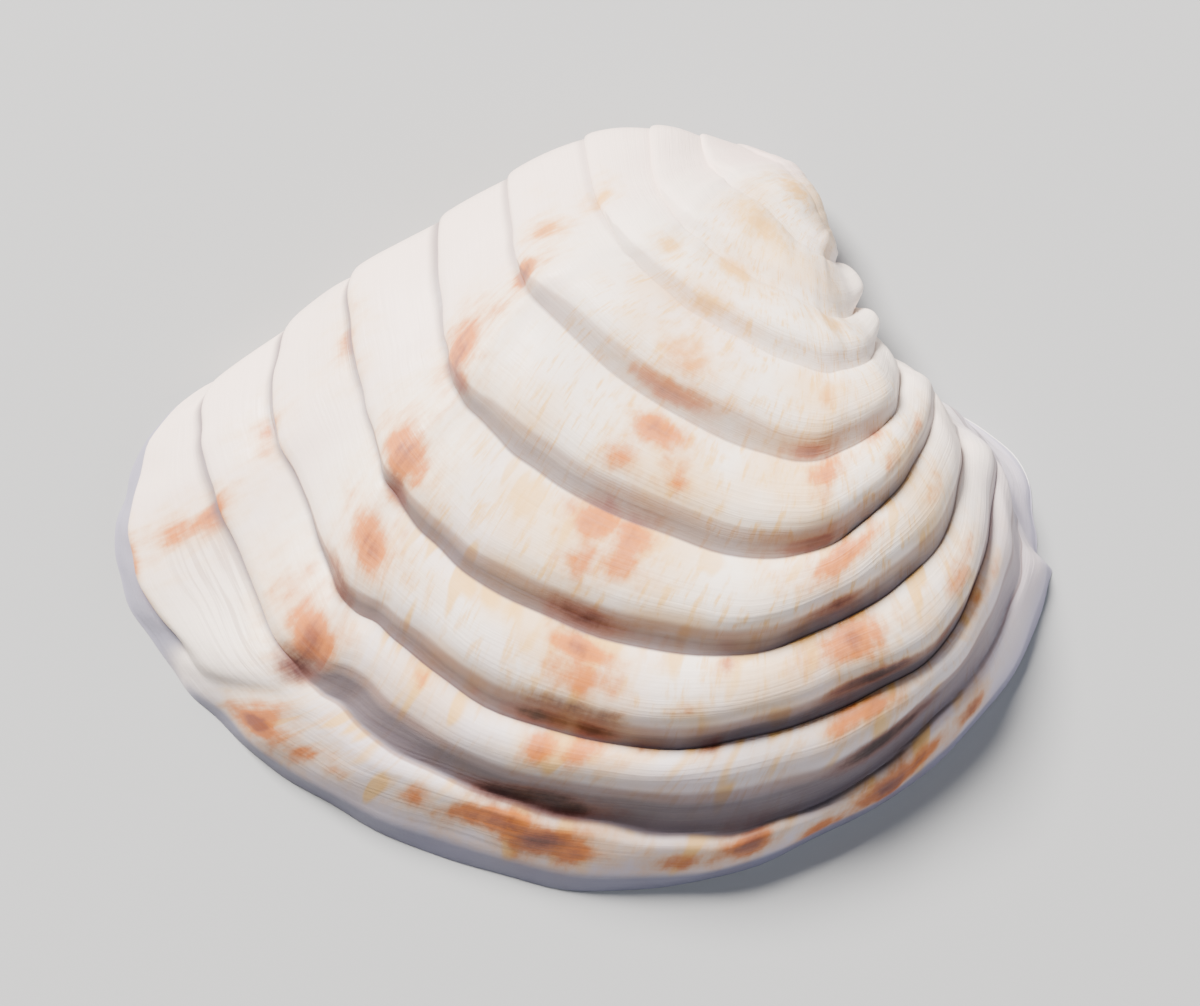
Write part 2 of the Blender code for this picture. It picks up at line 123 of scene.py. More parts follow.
SCALE_BAND = (3.65, 4.35)                    # stations between which the back's scales turn into rolls
SCALE_EDGE = 0.043                           # coil angle of the free edge of the last scale
LAST_SCALE = 0.8                             # height of the last scale beside the others
LAST_ROLL = 0.85                             # height of the last roll beside the others
LAST_ROLL_SHAPE = (0.33, 0.5, 2.1)           # its crest, rise and fall: it runs out in a wide channel
LIP_SHAPE = (0.20, 0.75, 1.1)                # crest, rise and fall of the lip
LIP_OVERRUN = 0.01                           # coil angle by which the lip's slope runs on below the rim
LIP_RIPPLE = (0.0022, 14.0)                  # ripple of the lip's start: coil angle, radians per station
LIP_RIPPLE_BAND = (6.2, 7.2)                 # stations between which the ripple sets in
CHANNEL_BAND = ((0.42, 0.87), (1.08, 0.96))  # where the channel's painted shade sets in and fades at the lip
CHANNEL_STATIONS = (3.8, 4.7)                # stations between which that painted shade sets in
SKIRT_BAND = (0.036, 0.008)                  # coil angles where the painted shade under the lip starts, is full

KEEL_STATION = 4.0
KEEL_WIDTHS = (0.3, 0.45)                    # widths of the crease and of the trough, in stations
KEEL_TROUGH = 0.8                            # how far behind the crease the trough lies, in stations
KEEL_FADE = 1.3                              # how fast both die out towards the beak
KEEL_START = 0.15                            # coil angle over which both rise from the rim

# small wandering of the growth lines: reach in mm, then share, radians per station and with age, shift
WANDER_REACH = 0.075
WANDER_WAVES = ((1.0, 3.1, 1.9, 0.0), (0.7, 7.3, -2.7, 1.0), (0.30, 12.7, 4.3, 2.0))
WANDER_AGE = (9.0, 1.2)                      # age at the rim, and how fast it falls with the coil
WANDER_FADE = 0.8                            # how fast the wandering dies out towards the beak
WANDER_ENDS = 1.5                            # stations over which it dies out at both ends

# rows and columns of faces
FEWEST_ROWS = 8                              # rows across the oldest ridges
ROW_THINNING = 0.35                          # how fast ridges lose rows towards the beak
ROW_EASE = 0.75                              # how far the rows of a ridge crowd at its grooves
CHANNEL_ROWS = 84                            # rows from the last groove to the edge of the last scale
EDGE_ROWS, EDGE_COIL = 6, 0.006              # rows over that edge, and the coil angle they cover
SKIRT_ROWS = 10                              # rows from there to the rim
COLUMN_SAMPLES = 1301                        # stations at which the crowding of columns is summed up
CROWDED = ((KEEL_STATION, 0.5, 1.2), (TIP_STATION, 0.35, 4.0))   # station, spread, extra columns

# the hollow for the body: its rim and its deepest point in plan, mm, and how full its bowl is
HOLLOW_RIM = ((-11.5, 3.7), (-14.4, 2.7), (-16.1, 0.5), (-16.3, -2.2), (-14.7, -5.2), (-11.7, -8.1),
              (-6.4, -11.4), (0.7, -13.1), (7.8, -11.5), (12.9, -7.9), (15.2, -3.6), (14.2, -1.0),
              (12.8, 0.7), (11.3, 2.0), (9.6, 3.9), (7.3, 5.8), (3.5, 7.0), (-1.5, 6.7), (-7.0, 5.1))
HOLLOW_TOP = (5.0, 2.2)
HOLLOW_ROUND = 2.05
RIM_STEPS = 24                               # points on the hollow's rim between two given ones
RIM_WRAP = 3                                 # given points repeated at both ends, so the rim closes
RIM_BEVEL = 0.05                             # height of the outermost edge over the rim plane, mm
HINGE = (8.0, 10.8)                          # the hinge teeth fan out from here
# sockets between the hinge teeth: bearing in degrees, start, length, width, depth, mm
SOCKETS = ((-79.0, 1.3, 2.8, 0.9, 0.9), (-104.0, 1.4, 2.7, 1.0, 1.0),
           (-129.0, 1.4, 2.8, 1.0, 1.0), (-152.0, 1.7, 4.4, 0.9, 0.8))
SOCKET_END = 0.5                             # length over which a socket runs out, mm
SOCKET_SIDE = 0.45                           # width over which its sides slope, mm
SOCKET_TAPER = 0.45                          # width at its start beside its full width
# scars of the two closing muscles: plan place, half width, half height, mm
MUSCLE_SCARS = ((-11.6, -0.9, 2.1, 2.6), (12.2, -3.4, 1.9, 2.7))
SCAR_EDGE = (1.06, 0.94)                     # where a scar starts and is full, in half widths
SCAR_DEPTH = 0.08                            # mm
# rings of faces underneath: share of the rim land still inside of them, then share of the hollow's radius
LAND_RINGS = (0.96, *np.linspace(0.9, 0.0, 25))
BOWL_RINGS = (*np.linspace(0.985, 0.8, 10), *np.linspace(0.77, 0.03, 22))

# values stored at each point, for the materials
LAYERS = ("groove", "flank", "phase", "rust", "dark", "coil", "station", "outside", "scar", "inward", "rim")
MARK_FALL = 0.7                              # how fast a rust mark fades outwards
HALO = (0.55, 0.18)                          # share of its halo, and how fast that fades
DARK_FALL = 1.1                              # how fast a dark mark fades outwards

# fixed tints and the fineness of the patterns
THREAD_TINT = (0.55, 0.47, 0.42, 1.0)
CLOUD_TINT = (0.83, 0.72, 0.60, 1.0)
SCAR_TINT = (0.66, 0.58, 0.52, 1.0)
DEEP_TINT = (0.84, 0.70, 0.62, 1.0)
THREADS_PER_COIL = 150.0
BANDS_PER_COIL = 38.0
PIT_SCALE = 2600.0
NOTCH_CENTRE = (0.0049, 0.0024)              # the inner notches fan out from here
NOTCHES = 150.0                              # notches of the inner rim in a full turn

# the studio
FLOOR_HALF = 1.5                             # half width of the floor, m
FLOOR_GREY = (0.36, 0.36, 0.36, 1.0)
SKY_COLOR = (0.92, 0.94, 1.0, 1.0)
SKY_STRENGTH = 0.08
LIGHT_TARGET = (0.0, 0.0, 0.004)             # the lamps look at the middle of the valve
# name, place, width, power in watts, colour
LIGHTS = (("window", (-0.23, 0.38, 0.44), 0.22, 20.0, (1.0, 0.975, 0.94)),
          ("fill", (0.45, -0.10, 0.35), 0.5, 2.2, (0.80, 0.86, 1.0)))
# where the photograph was taken from, and how wide it looks
PIXELS_PER_MM = 26
PHOTO_PIXELS = 1200                          # width of the photograph
PHOTO_MIDDLE = (17.5, 5.5)                   # where its middle lies over the growth lines, in pixels
VIEW_ELEVATION = 88.0                        # degrees over the floor
VIEW_DISTANCE = 250 * MM
PHOTO_WIDTH = PHOTO_PIXELS / PIXELS_PER_MM * MM
AIM = (*((np.array(PHOTO_MIDDLE) / PIXELS_PER_MM + PLAN_SHIFT) * MM), 0.0)
SENSOR_WIDTH = 36.0                          # mm
NEAREST_SEEN = 0.005                         # m

# markings: station, coil angle, half width in stations, half length in coil, rust, dark
SPOTS = (
    # ray along the keel
    (3.42, 0.770, 0.32, 0.040, 1.00, 0.35), (3.42, 0.770, 0.59, 0.092, 0.55, 0.00),
    (3.62, 0.680, 0.40, 0.046, 0.55, 0.00), (3.52, 0.604, 0.50, 0.056, 1.05, 0.05),
    (3.88, 0.573, 0.44, 0.021, 0.80, 0.55), (4.08, 0.436, 0.50, 0.044, 1.05, 0.05),
    (4.22, 0.385, 0.36, 0.025, 0.80, 0.55), (4.30, 0.306, 0.46, 0.036, 1.00, 0.00),
    (4.04, 0.237, 0.36, 0.018, 0.70, 0.70), (4.12, 0.180, 0.44, 0.026, 1.10, 0.05),
    (4.17, 0.143, 0.31, 0.025, 0.60, 0.80),
    # middle ray
    (6.06, 0.880, 0.27, 0.057, 0.85, 0.00), (6.14, 0.795, 0.37, 0.030, 0.95, 0.25),
    (6.20, 0.715, 0.18, 0.037, 1.00, 0.05), (6.12, 0.645, 0.16, 0.039, 0.80, 0.00),
    (6.44, 0.655, 0.15, 0.039, 0.80, 0.00), (6.16, 0.540, 0.16, 0.039, 1.00, 0.10),
    (6.20, 0.475, 0.15, 0.048, 0.80, 0.00), (6.39, 0.530, 0.12, 0.041, 1.00, 0.10),
    (6.42, 0.485, 0.13, 0.039, 0.75, 0.00), (6.36, 0.395, 0.34, 0.026, 0.70, 0.75),
    (6.40, 0.352, 0.16, 0.018, 1.10, 0.20), (6.42, 0.315, 0.17, 0.037, 0.95, 0.00),
    (6.42, 0.268, 0.30, 0.016, 0.50, 0.65), (6.31, 0.240, 0.20, 0.014, 0.90, 1.00),
    (6.56, 0.242, 0.18, 0.013, 0.80, 0.95), (6.38, 0.205, 0.10, 0.028, 0.90, 0.10),
    (6.56, 0.205, 0.13, 0.030, 0.90, 0.05), (6.46, 0.118, 0.34, 0.022, 0.40, 1.00),
    (6.66, 0.108, 0.26, 0.018, 0.40, 0.95),
    # front ray
    (8.11, 1.190, 0.55, 0.069, 0.75, 0.00), (7.49, 0.930, 0.29, 0.052, 0.80, 0.00),
    (7.35, 0.785, 0.37, 0.025, 1.00, 0.35), (7.66, 0.730, 0.37, 0.039, 0.95, 0.00),
    (7.60, 0.680, 0.32, 0.030, 0.55, 0.10), (7.53, 0.572, 0.26, 0.016, 1.10, 0.55),
    (7.94, 0.515, 0.37, 0.039, 1.00, 0.05), (7.78, 0.480, 0.27, 0.034, 0.65, 0.10),
    (7.93, 0.415, 0.26, 0.018, 0.70, 0.70), (8.02, 0.335, 0.32, 0.041, 0.95, 0.05),
    (8.15, 0.258, 0.40, 0.014, 0.90, 0.95), (8.08, 0.205, 0.32, 0.025, 0.90, 0.00),
    (8.24, 0.130, 0.30, 0.020, 0.40, 1.00), (8.44, 0.124, 0.26, 0.016, 0.40, 0.85),
    # foremost flecks
    (8.60, 0.650, 0.29, 0.037, 0.70, 0.10), (8.50, 0.755, 0.27, 0.023, 0.70, 0.30),
    (9.22, 0.640, 0.32, 0.037, 0.70, 0.10), (9.06, 0.473, 0.29, 0.032, 0.65, 0.05),
    (9.09, 0.313, 0.27, 0.034, 0.70, 0.05), (8.82, 0.250, 0.26, 0.014, 0.70, 0.60),
    (9.06, 0.212, 0.24, 0.021, 0.65, 0.10), (9.40, 0.200, 0.22, 0.018, 0.55, 0.20),
    # umbo and back slope, paler
    (2.35, 1.020, 0.26, 0.048, 0.80, 0.00), (2.64, 0.850, 0.39, 0.043, 0.85, 0.00),
    (6.03, 1.240, 0.44, 0.066, 0.85, 0.00), (6.19, 1.500, 0.59, 0.072, 0.80, 0.00),
    (5.83, 1.850, 0.78, 0.084, 0.75, 0.00), (5.96, 1.050, 0.31, 0.054, 0.75, 0.00),
    (4.60, 1.130, 0.34, 0.048, 0.75, 0.00), (2.02, 0.365, 0.36, 0.036, 0.70, 0.00),
    (2.30, 0.215, 0.29, 0.024, 0.70, 0.00), (2.81, 0.132, 0.16, 0.031, 0.90, 0.10),
    (2.74, 0.100, 0.23, 0.024, 0.85, 0.05), (2.83, 0.050, 0.26, 0.012, 0.85, 0.00),
    (3.19, 0.040, 0.26, 0.010, 0.85, 0.20),
    # flecks between the rays and at the grooves
    (5.56, 0.214, 0.09, 0.016, 0.85, 0.00), (5.94, 0.238, 0.08, 0.012, 0.65, 0.40),
    (5.67, 0.360, 0.10, 0.016, 0.55, 0.00), (6.19, 0.352, 0.06, 0.026, 0.65, 0.00),
    (6.58, 0.352, 0.05, 0.024, 0.75, 0.10), (6.81, 0.358, 0.06, 0.020, 0.65, 0.25),
    (7.17, 0.360, 0.06, 0.020, 0.65, 0.30), (6.60, 0.275, 0.08, 0.012, 0.60, 0.60),
    (6.97, 0.292, 0.10, 0.014, 0.75, 0.35), (6.84, 0.228, 0.05, 0.014, 0.85, 0.75),
    (7.14, 0.228, 0.06, 0.016, 0.90, 0.75),
    # lip
    (4.72, 0.076, 0.24, 0.034, 0.95, 0.00), (4.82, 0.060, 0.20, 0.018, 1.45, 0.35),
    (5.28, 0.062, 0.12, 0.026, 0.85, 0.15), (5.55, 0.070, 0.09, 0.020, 0.55, 0.00),
    (5.99, 0.076, 0.13, 0.028, 0.70, 0.05), (6.40, 0.072, 0.22, 0.026, 1.05, 0.30),
    (6.62, 0.060, 0.20, 0.024, 1.15, 0.60), (6.82, 0.050, 0.13, 0.018, 0.95, 0.25),
    (7.30, 0.044, 0.14, 0.018, 0.90, 0.25), (7.62, 0.056, 0.14, 0.024, 1.15, 0.40),
    (8.05, 0.036, 0.11, 0.020, 0.95, 0.20), (8.42, 0.046, 0.20, 0.026, 1.15, 0.50),
    (8.66, 0.052, 0.15, 0.020, 0.95, 0.25), (8.98, 0.052, 0.11, 0.018, 0.90, 0.45),
)


class ClamSizes(bpy.types.PropertyGroup):
    """Sizes of the valve that a user may change."""
    growth_rate: FloatProperty(
        name="Growth rate", description="How fast a growth line widens per radian of coil", default=0.97)
    fullness: FloatProperty(
        name="Fullness", description="Extra steepness of the flank close to the rim", default=0.25)
    ridge_scale: FloatProperty(
        name="Ridge height", description="Height of the ridges beside their grown height", default=1.0,
        subtype="FACTOR")
    ridge_shrink: FloatProperty(
        name="Ridge shrink", description="How fast ridges grow lower towards the beak", default=0.6)
    lip_scale: FloatProperty(
        name="Lip height", description="Height of the lip beside its grown height", default=1.0,
        subtype="FACTOR")
    keel_rise: FloatProperty(
        name="Keel", description="Crease where the back slope turns into the belly", default=0.35 * MM,
        unit="LENGTH", precision=5)
    keel_dip: FloatProperty(
        name="Back trough", description="Shallow trough behind the keel", default=0.25 * MM,
        unit="LENGTH", precision=5)
    hollow_depth: FloatProperty(
        name="Hollow depth", description="Depth of the inside over the rim", default=6.0 * MM,
        unit="LENGTH", precision=5)
    columns: IntProperty(
        name="Columns", description="Columns of faces from the hinge round to the lunule", default=190)
    ridge_rows: IntProperty(
        name="Rows per ridge", description="Rows of faces across one of the last ridges", default=24)


class ClamColors(bpy.types.PropertyGroup):
    """Colours of the valve that a user may change."""
    cream: FloatVectorProperty(
        name="Cream", description="Ground colour of the outside", subtype="COLOR",
        default=(0.93, 0.79, 0.68))
    blush: FloatVectorProperty(
        name="Blush", description="Pink tint at the beak and on the back slope", subtype="COLOR",
        default=(0.90, 0.62, 0.56))
    honey: FloatVectorProperty(
        name="Honey", description="Yellow streaks, and the pale edges of the blotches", subtype="COLOR",
        default=(0.84, 0.48, 0.14))
    rust: FloatVectorProperty(
        name="Rust", description="Blotches of the rays", subtype="COLOR",
        default=(0.58, 0.150, 0.012))
    russet: FloatVectorProperty(
        name="Russet", description="Heart of the strongest blotches", subtype="COLOR",
        default=(0.25, 0.050, 0.012))
    # used for the painted shadow line on the steep sides, and for the wrinkles and the dark marks' edges
    umber: FloatVectorProperty(
        name="Umber", description="Line on the steep side of a roll, wrinkles, and edges of dark marks",
        subtype="COLOR", default=(0.18, 0.075, 0.060))
    plum: FloatVectorProperty(
        name="Plum", description="Darkest marks in the grooves", subtype="COLOR",
        default=(0.022, 0.003, 0.006))
    # painted shade on the steep sides of the rolls and in the grooves
    lilac_shade: FloatVectorProperty(
        name="Lilac", description="Tint on the steep sides of the rolls and in the grooves", subtype="COLOR",
        default=(0.105, 0.082, 0.100))
    # painted shade on the youngest rolls, on the lip and on the lunule
    lavender_shade: FloatVectorProperty(
        name="Lavender", description="Cool tint of the youngest rolls and of the lunule", subtype="COLOR",
        default=(0.60, 0.53, 0.64))
    # painted shade low on the lip
    slate_shade: FloatVectorProperty(
        name="Slate", description="Blue-grey tint low on the lip", subtype="COLOR",
        default=(0.21, 0.21, 0.30))
    porcelain: FloatVectorProperty(
        name="Porcelain", description="Inside of the valve", subtype="COLOR",
        default=(0.86, 0.82, 0.76))


def ramp(value, start, full):
    """0 before start, 1 after full, straight between them. It falls where full is less than start."""
    return np.clip((value - start) / (full - start), 0, 1)


def eased(t):
    """A ramp with soft ends."""
    return t * t * (3 - 2 * t)


def spline(knots, values, at):
    """Natural cubic through the knots, for any number of value columns."""
    knots, values, at = np.asarray(knots, float), np.asarray(values, float), np.asarray(at, float)
    n = len(knots)
    gap = np.diff(knots)
    slope = np.diff(values, axis=0) / gap.reshape((n - 1,) + (1,) * (values.ndim - 1))
    m = np.zeros((n, n))
    m[0, 0] = m[-1, -1] = 1.0
    rhs = np.zeros(values.shape)
    for i in range(1, n - 1):
        m[i, i - 1:i + 2] = gap[i - 1], 2 * (gap[i - 1] + gap[i]), gap[i]
        rhs[i] = 6 * (slope[i] - slope[i - 1])
    bend = np.linalg.solve(m, rhs.reshape(n, -1)).reshape(values.shape)
    k = np.clip(np.searchsorted(knots, at, side="right") - 1, 0, n - 2)
    h = gap[k]
    a, b = (knots[k + 1] - at) / h, (at - knots[k]) / h
    grow = (slice(None),) + (None,) * (values.ndim - 1)
    a, b, h = a[grow], b[grow], h[grow]
    return (a * values[k] + b * values[k + 1]
            + ((a ** 3 - a) * bend[k] + (b ** 3 - b) * bend[k + 1]) * h * h / 6)


def bare_shell(sizes, coil, across):
    """The shell without ridges, mm: rows by station, columns by coil angle."""
    angles = [line[0] for line in GROWTH_LINES] + [math.pi]
    plan = [line[1] for line in GROWTH_LINES] + [(BEAK,) * len(STAND_OFF)]
    rows = spline(angles, plan, coil)
    stations = np.arange(len(STAND_OFF))
    plan_at = spline(stations, np.moveaxis(rows, 1, 0), across)
    lift = np.maximum(spline(stations, STAND_OFF, across), 0.0)
    coil = np.asarray(coil)
    rise = np.exp(-sizes.growth_rate * coil) * np.sin(coil) * (1 + sizes.fullness * np.exp(-4 * coil))
    return np.concatenate([plan_at, (lift[:, None] * rise[None, :])[..., None]], -1)


def roll(u, crest, rise, fall):
    """Cross-section of a ridge, 0 to 1: a rounded roll, or a flat scale with a sharp edge."""
    up = np.sin(0.5 * math.pi * np.clip(u / crest, 0, 1)) ** rise
    down = np.cos(0.5 * math.pi * np.clip((u - crest) / (1 - crest), 0, 1)) ** fall
    return np.where((u <= 0) | (u >= 1), 0.0, np.where(u < crest, up, down))


def by_station(values, across):
    """Value of a table between stations, rounded off so that no crease runs along a station."""
    stations = np.arange(len(values))
    shifts = np.linspace(-STATION_ROUNDING, STATION_ROUNDING, 10)
    return sum(np.interp(across + shift, stations, values) for shift in shifts) / len(shifts)


def ridge_relief(sizes, coil, across):
    """Ridges over the bare shell, by station and coil angle.

    Gives the height and the reach at the front tips in mm, the profile of the ridge from 0 to 1, a mask of
    the steep sides, the channel and the skirt under the lip, where the material paints shade, and how far
    across its ridge each point lies.
    """
    high = by_station(RIDGE_HEIGHT, across) * sizes.ridge_scale
    crest, rise, fall = by_station(CREST, across), by_station(RISE, across), by_station(FALL, across)
    lip_high = by_station(LIP_HEIGHT, across) * sizes.lip_scale
    ripple, ripple_waves = LIP_RIPPLE
    lip_start = by_station(LIP_START, across)
    lip_start = lip_start + ripple * np.sin(ripple_waves * across) * ramp(across, *LIP_RIPPLE_BAND)
    tip = TIP_REACH * np.exp(-((across - TIP_STATION) / TIP_WIDTH) ** 2)
    scaly = eased(ramp(across, SCALE_BAND[1], SCALE_BAND[0]))
    keel = (sizes.keel_rise / MM * np.exp(-((across - KEEL_STATION) / KEEL_WIDTHS[0]) ** 2)
            - sizes.keel_dip / MM * np.exp(-((across - KEEL_STATION + KEEL_TROUGH) / KEEL_WIDTHS[1]) ** 2))
    height = np.zeros((len(across), len(coil)))
    profile, reach, flank, phase = (np.zeros_like(height) for _ in range(4))
    for j, angle in enumerate(coil):
        size = math.exp(-sizes.ridge_shrink * angle) * ramp(angle, BEAK_FADE[1], BEAK_FADE[0])
        for number, (first, last) in enumerate(zip(GROOVES, GROOVES[1:-1])):
            if last < angle < first:
                u = (first - angle) / (first - last)
                phase[:, j] = u
                profile[:, j] = roll(np.full(len(across), u), crest, rise, fall)
                # mask of the steep side, where the material paints shade
                flank[:, j] = ramp(u, crest + FLANK_START, 1.0)
                waver = 1 + sum(share * np.sin(waves * across + shift * number)
                                for share, waves, shift in RIDGE_WAVER)
                height[:, j] = high * size * profile[:, j] * waver
                if angle < TIP_COILS[2]:
                    reach[:, j] = tip * profile[:, j] * ramp(angle, *TIP_COILS[:2])
        if angle <= GROOVES[-2]:
            # behind the keel: one more scale, then the last scale with its free edge over the rim
            first, last = GROOVES[-2:] if angle > GROOVES[-1] else (GROOVES[-1], SCALE_EDGE)
            across_scale = (first - angle) / (first - last)
            scale = roll(np.full(len(across), across_scale), crest, rise, fall)
            scale_height = scale * (1.0 if angle > GROOVES[-1] else LAST_SCALE)
            # before the keel: a roll that runs out in a wide channel, then the lip
            run = (GROOVES[-2] - angle) / (GROOVES[-2] - lip_start)
            wide = roll(run, *LAST_ROLL_SHAPE)
            lip = roll((lip_start - angle) / (lip_start + LIP_OVERRUN), *LIP_SHAPE)
            front = wide * LAST_ROLL * high + lip * lip_high
            height[:, j] = size * (scaly * scale_height * high + (1 - scaly) * front)
            profile[:, j] = scaly * scale + (1 - scaly) * np.maximum(wide, lip)
            # mask for painted shade in the channel before the lip and on the skirt under it
            channel = ramp(run, *CHANNEL_BAND[0]) * ramp(run, *CHANNEL_BAND[1])
            under = np.maximum(channel, ramp(angle, *SKIRT_BAND))
            flank[:, j] = (1 - scaly) * ramp(across, *CHANNEL_STATIONS) * under
            front_phase = np.where(angle > lip_start, run, (lip_start - angle) / lip_start)
            phase[:, j] = scaly * np.clip(across_scale, 0, 1) + (1 - scaly) * front_phase
        height[:, j] += keel * math.exp(-KEEL_FADE * angle) * ramp(angle, 0.0, KEEL_START)
    return height, reach, profile, flank, phase


def wander(coil, across):
    """Small wandering of the growth lines in plan, mm, so that no edge is a perfect curve."""
    station, angle = np.meshgrid(across, coil, indexing="ij")
    age = WANDER_AGE[0] * np.exp(-WANDER_AGE[1] * angle)
    waves = sum(share * np.sin(rate * station + drift * age + shift)
                for share, rate, drift, shift in WANDER_WAVES)
    ends = ramp(station, 0.0, WANDER_ENDS) * ramp(station, LAST_STATION, LAST_STATION - WANDER_ENDS)
    return WANDER_REACH * waves * ends * np.exp(-WANDER_FADE * angle)


def shell_points(sizes, coil, across):
    """Points of the outer face in metres, with the ridge profile, steep-side mask and phase at each."""
    base = bare_shell(sizes, coil, across)
    step = 1e-3
    after, before = np.clip(across + step, 0, LAST_STATION), np.clip(across - step, 0, LAST_STATION)
    ds = bare_shell(sizes, coil, after) - bare_shell(sizes, coil, before)
    dt = bare_shell(sizes, coil + step, across) - bare_shell(sizes, coil - step, across)
    normal = np.cross(ds, dt)
    normal /= np.maximum(np.linalg.norm(normal, axis=-1, keepdims=True), 1e-12)
    lean = by_station(LEAN, across)[:, None, None]
    level = normal * (1.0, 1.0, 0.0)
    level /= np.maximum(np.linalg.norm(level, axis=-1, keepdims=True), 1e-12)
    direction = normal * lean + np.array((0.0, 0.0, 1.0)) * (1 - lean)
    height, reach, profile, flank, phase = ridge_relief(sizes, coil, across)
    points = base + direction * height[..., None] + level * (reach + wander(coil, across))[..., None]
    points[..., 2] = np.maximum(points[..., 2], 0.0)
    points[..., :2] += PLAN_SHIFT
    return points * MM, profile, flank, phase


def coil_rows(sizes):
    """Coil angles of the rows, dense across the big last ridges and sparse at the beak."""
    rows = list(BEAK_ROWS)
    for first, last in zip(GROOVES, GROOVES[1:]):
        few = max(FEWEST_ROWS, round(sizes.ridge_rows * math.exp(-ROW_THINNING * last)))
        even = np.arange(few) / few
        crowded = 0.5 - 0.5 * np.cos(math.pi * even)
        rows += list(first + (last - first) * (ROW_EASE * crowded + (1 - ROW_EASE) * even))
    rows += list(np.linspace(GROOVES[-1], SCALE_EDGE + EDGE_COIL, CHANNEL_ROWS, endpoint=False))
    rows += list(np.linspace(SCALE_EDGE + EDGE_COIL, SCALE_EDGE, EDGE_ROWS, endpoint=False))
    rows += list(np.linspace(SCALE_EDGE, 0.0, SKIRT_ROWS))
    return np.array(rows)


def column_stations(sizes):
    """Stations of the columns, closer together at the keel and at the tips of the ridges."""
    even = np.linspace(0, LAST_STATION, COLUMN_SAMPLES)
    density = 1 + sum(extra * np.exp(-((even - station) / spread) ** 2)
                      for station, spread, extra in CROWDED)
    total = np.concatenate([[0.0], np.cumsum(0.5 * (density[1:] + density[:-1]))])
    return np.interp(np.linspace(0, total[-1], sizes.columns), total, even)


def paint(coil, across):
    """Soft masks of the rust blotches and of the dark marks at each point."""
    station, angle = np.meshgrid(across, coil, indexing="ij")
    rust, dark = np.zeros_like(station), np.zeros_like(station)
    for s, c, wide, long, red, black in SPOTS:
        far = ((station - s) / wide) ** 2 + ((angle - c) / long) ** 2
        rust = np.maximum(rust, red * np.maximum(np.exp(-MARK_FALL * far), HALO[0] * np.exp(-HALO[1] * far)))
        dark = np.maximum(dark, black * np.exp(-DARK_FALL * far))
    return rust, dark


def hollow_reach():
    """Bearings and distances of the hollow's rim, seen from under its deepest point."""
    rim = np.array(HOLLOW_RIM + HOLLOW_RIM[:1])
    n = len(HOLLOW_RIM)
    wrapped = np.vstack([rim[-1 - RIM_WRAP:-1], rim, rim[1:1 + RIM_WRAP]])
    at = np.linspace(0, n, RIM_STEPS * n, endpoint=False)
    edge = spline(np.arange(-RIM_WRAP, n + 1 + RIM_WRAP), wrapped, at) - HOLLOW_TOP
    bearing = np.arctan2(edge[:, 1], edge[:, 0])
    order = np.argsort(bearing)
    bearing, reach = bearing[order], np.hypot(*edge[order].T)
    return np.concatenate([bearing - 2 * math.pi, bearing, bearing + 2 * math.pi]), np.tile(reach, 3)


def ceiling(sizes, x, y, share):
    """Height of the underside over the rim plane, mm, at plan places given in mm."""
    z = sizes.hollow_depth / MM * (1 - np.minimum(share, 1.0) ** HOLLOW_ROUND)
    for bearing, start, length, width, depth in SOCKETS:
        turn = math.radians(bearing)
        along = (x - HINGE[0]) * math.cos(turn) + (y - HINGE[1]) * math.sin(turn)
        beside = (y - HINGE[1]) * math.cos(turn) - (x - HINGE[0]) * math.sin(turn)
        end = start + length
        taper = SOCKET_TAPER + (1 - SOCKET_TAPER) * ramp(along, start, end)
        half = 0.5 * width * taper
        slope = 0.5 * SOCKET_SIDE
        ends = ramp(along, start, start + SOCKET_END) * ramp(along, end, end - SOCKET_END)
        sides = ramp(np.abs(beside), half + slope, half - slope)
        z = np.maximum(z, depth * eased(ends) * eased(sides))
    return z


def scar_mask(x, y):
    """One inside the two muscle scars, fading to nothing at their edges."""
    mask = np.zeros_like(x)
    for cx, cy, wide, high in MUSCLE_SCARS:
        mask = np.maximum(mask, ramp(np.hypot((x - cx) / wide, (y - cy) / high), *SCAR_EDGE))
    return mask


def grow_outside(bm, sizes, layers):
    """A flat grid laid over the growth lines, its markings stored point by point."""
    coil, across = coil_rows(sizes), column_stations(sizes)
    points, profile, flank, phase = shell_points(sizes, coil, across)
    rust, dark = paint(coil, across)
    n, m = len(across), len(coil)
    bmesh.ops.create_grid(bm, x_segments=n - 1, y_segments=m - 1, size=0.5)
    bm.verts.ensure_lookup_table()
    for j in range(m):
        for i in range(n):
            v = bm.verts[j * n + i]
            v.co = Vector(points[i, j])
            v[layers["groove"]] = 1 - profile[i, j]
            v[layers["flank"]] = flank[i, j]
            v[layers["phase"]] = phase[i, j]
            v[layers["rust"]] = rust[i, j]
            v[layers["dark"]] = dark[i, j]
            v[layers["coil"]] = coil[j]
            v[layers["station"]] = across[i]
            v[layers["outside"]] = 1.0
    # one face closes the tiny end of the beak
    bm.faces.new([bm.verts[i] for i in range(n)])


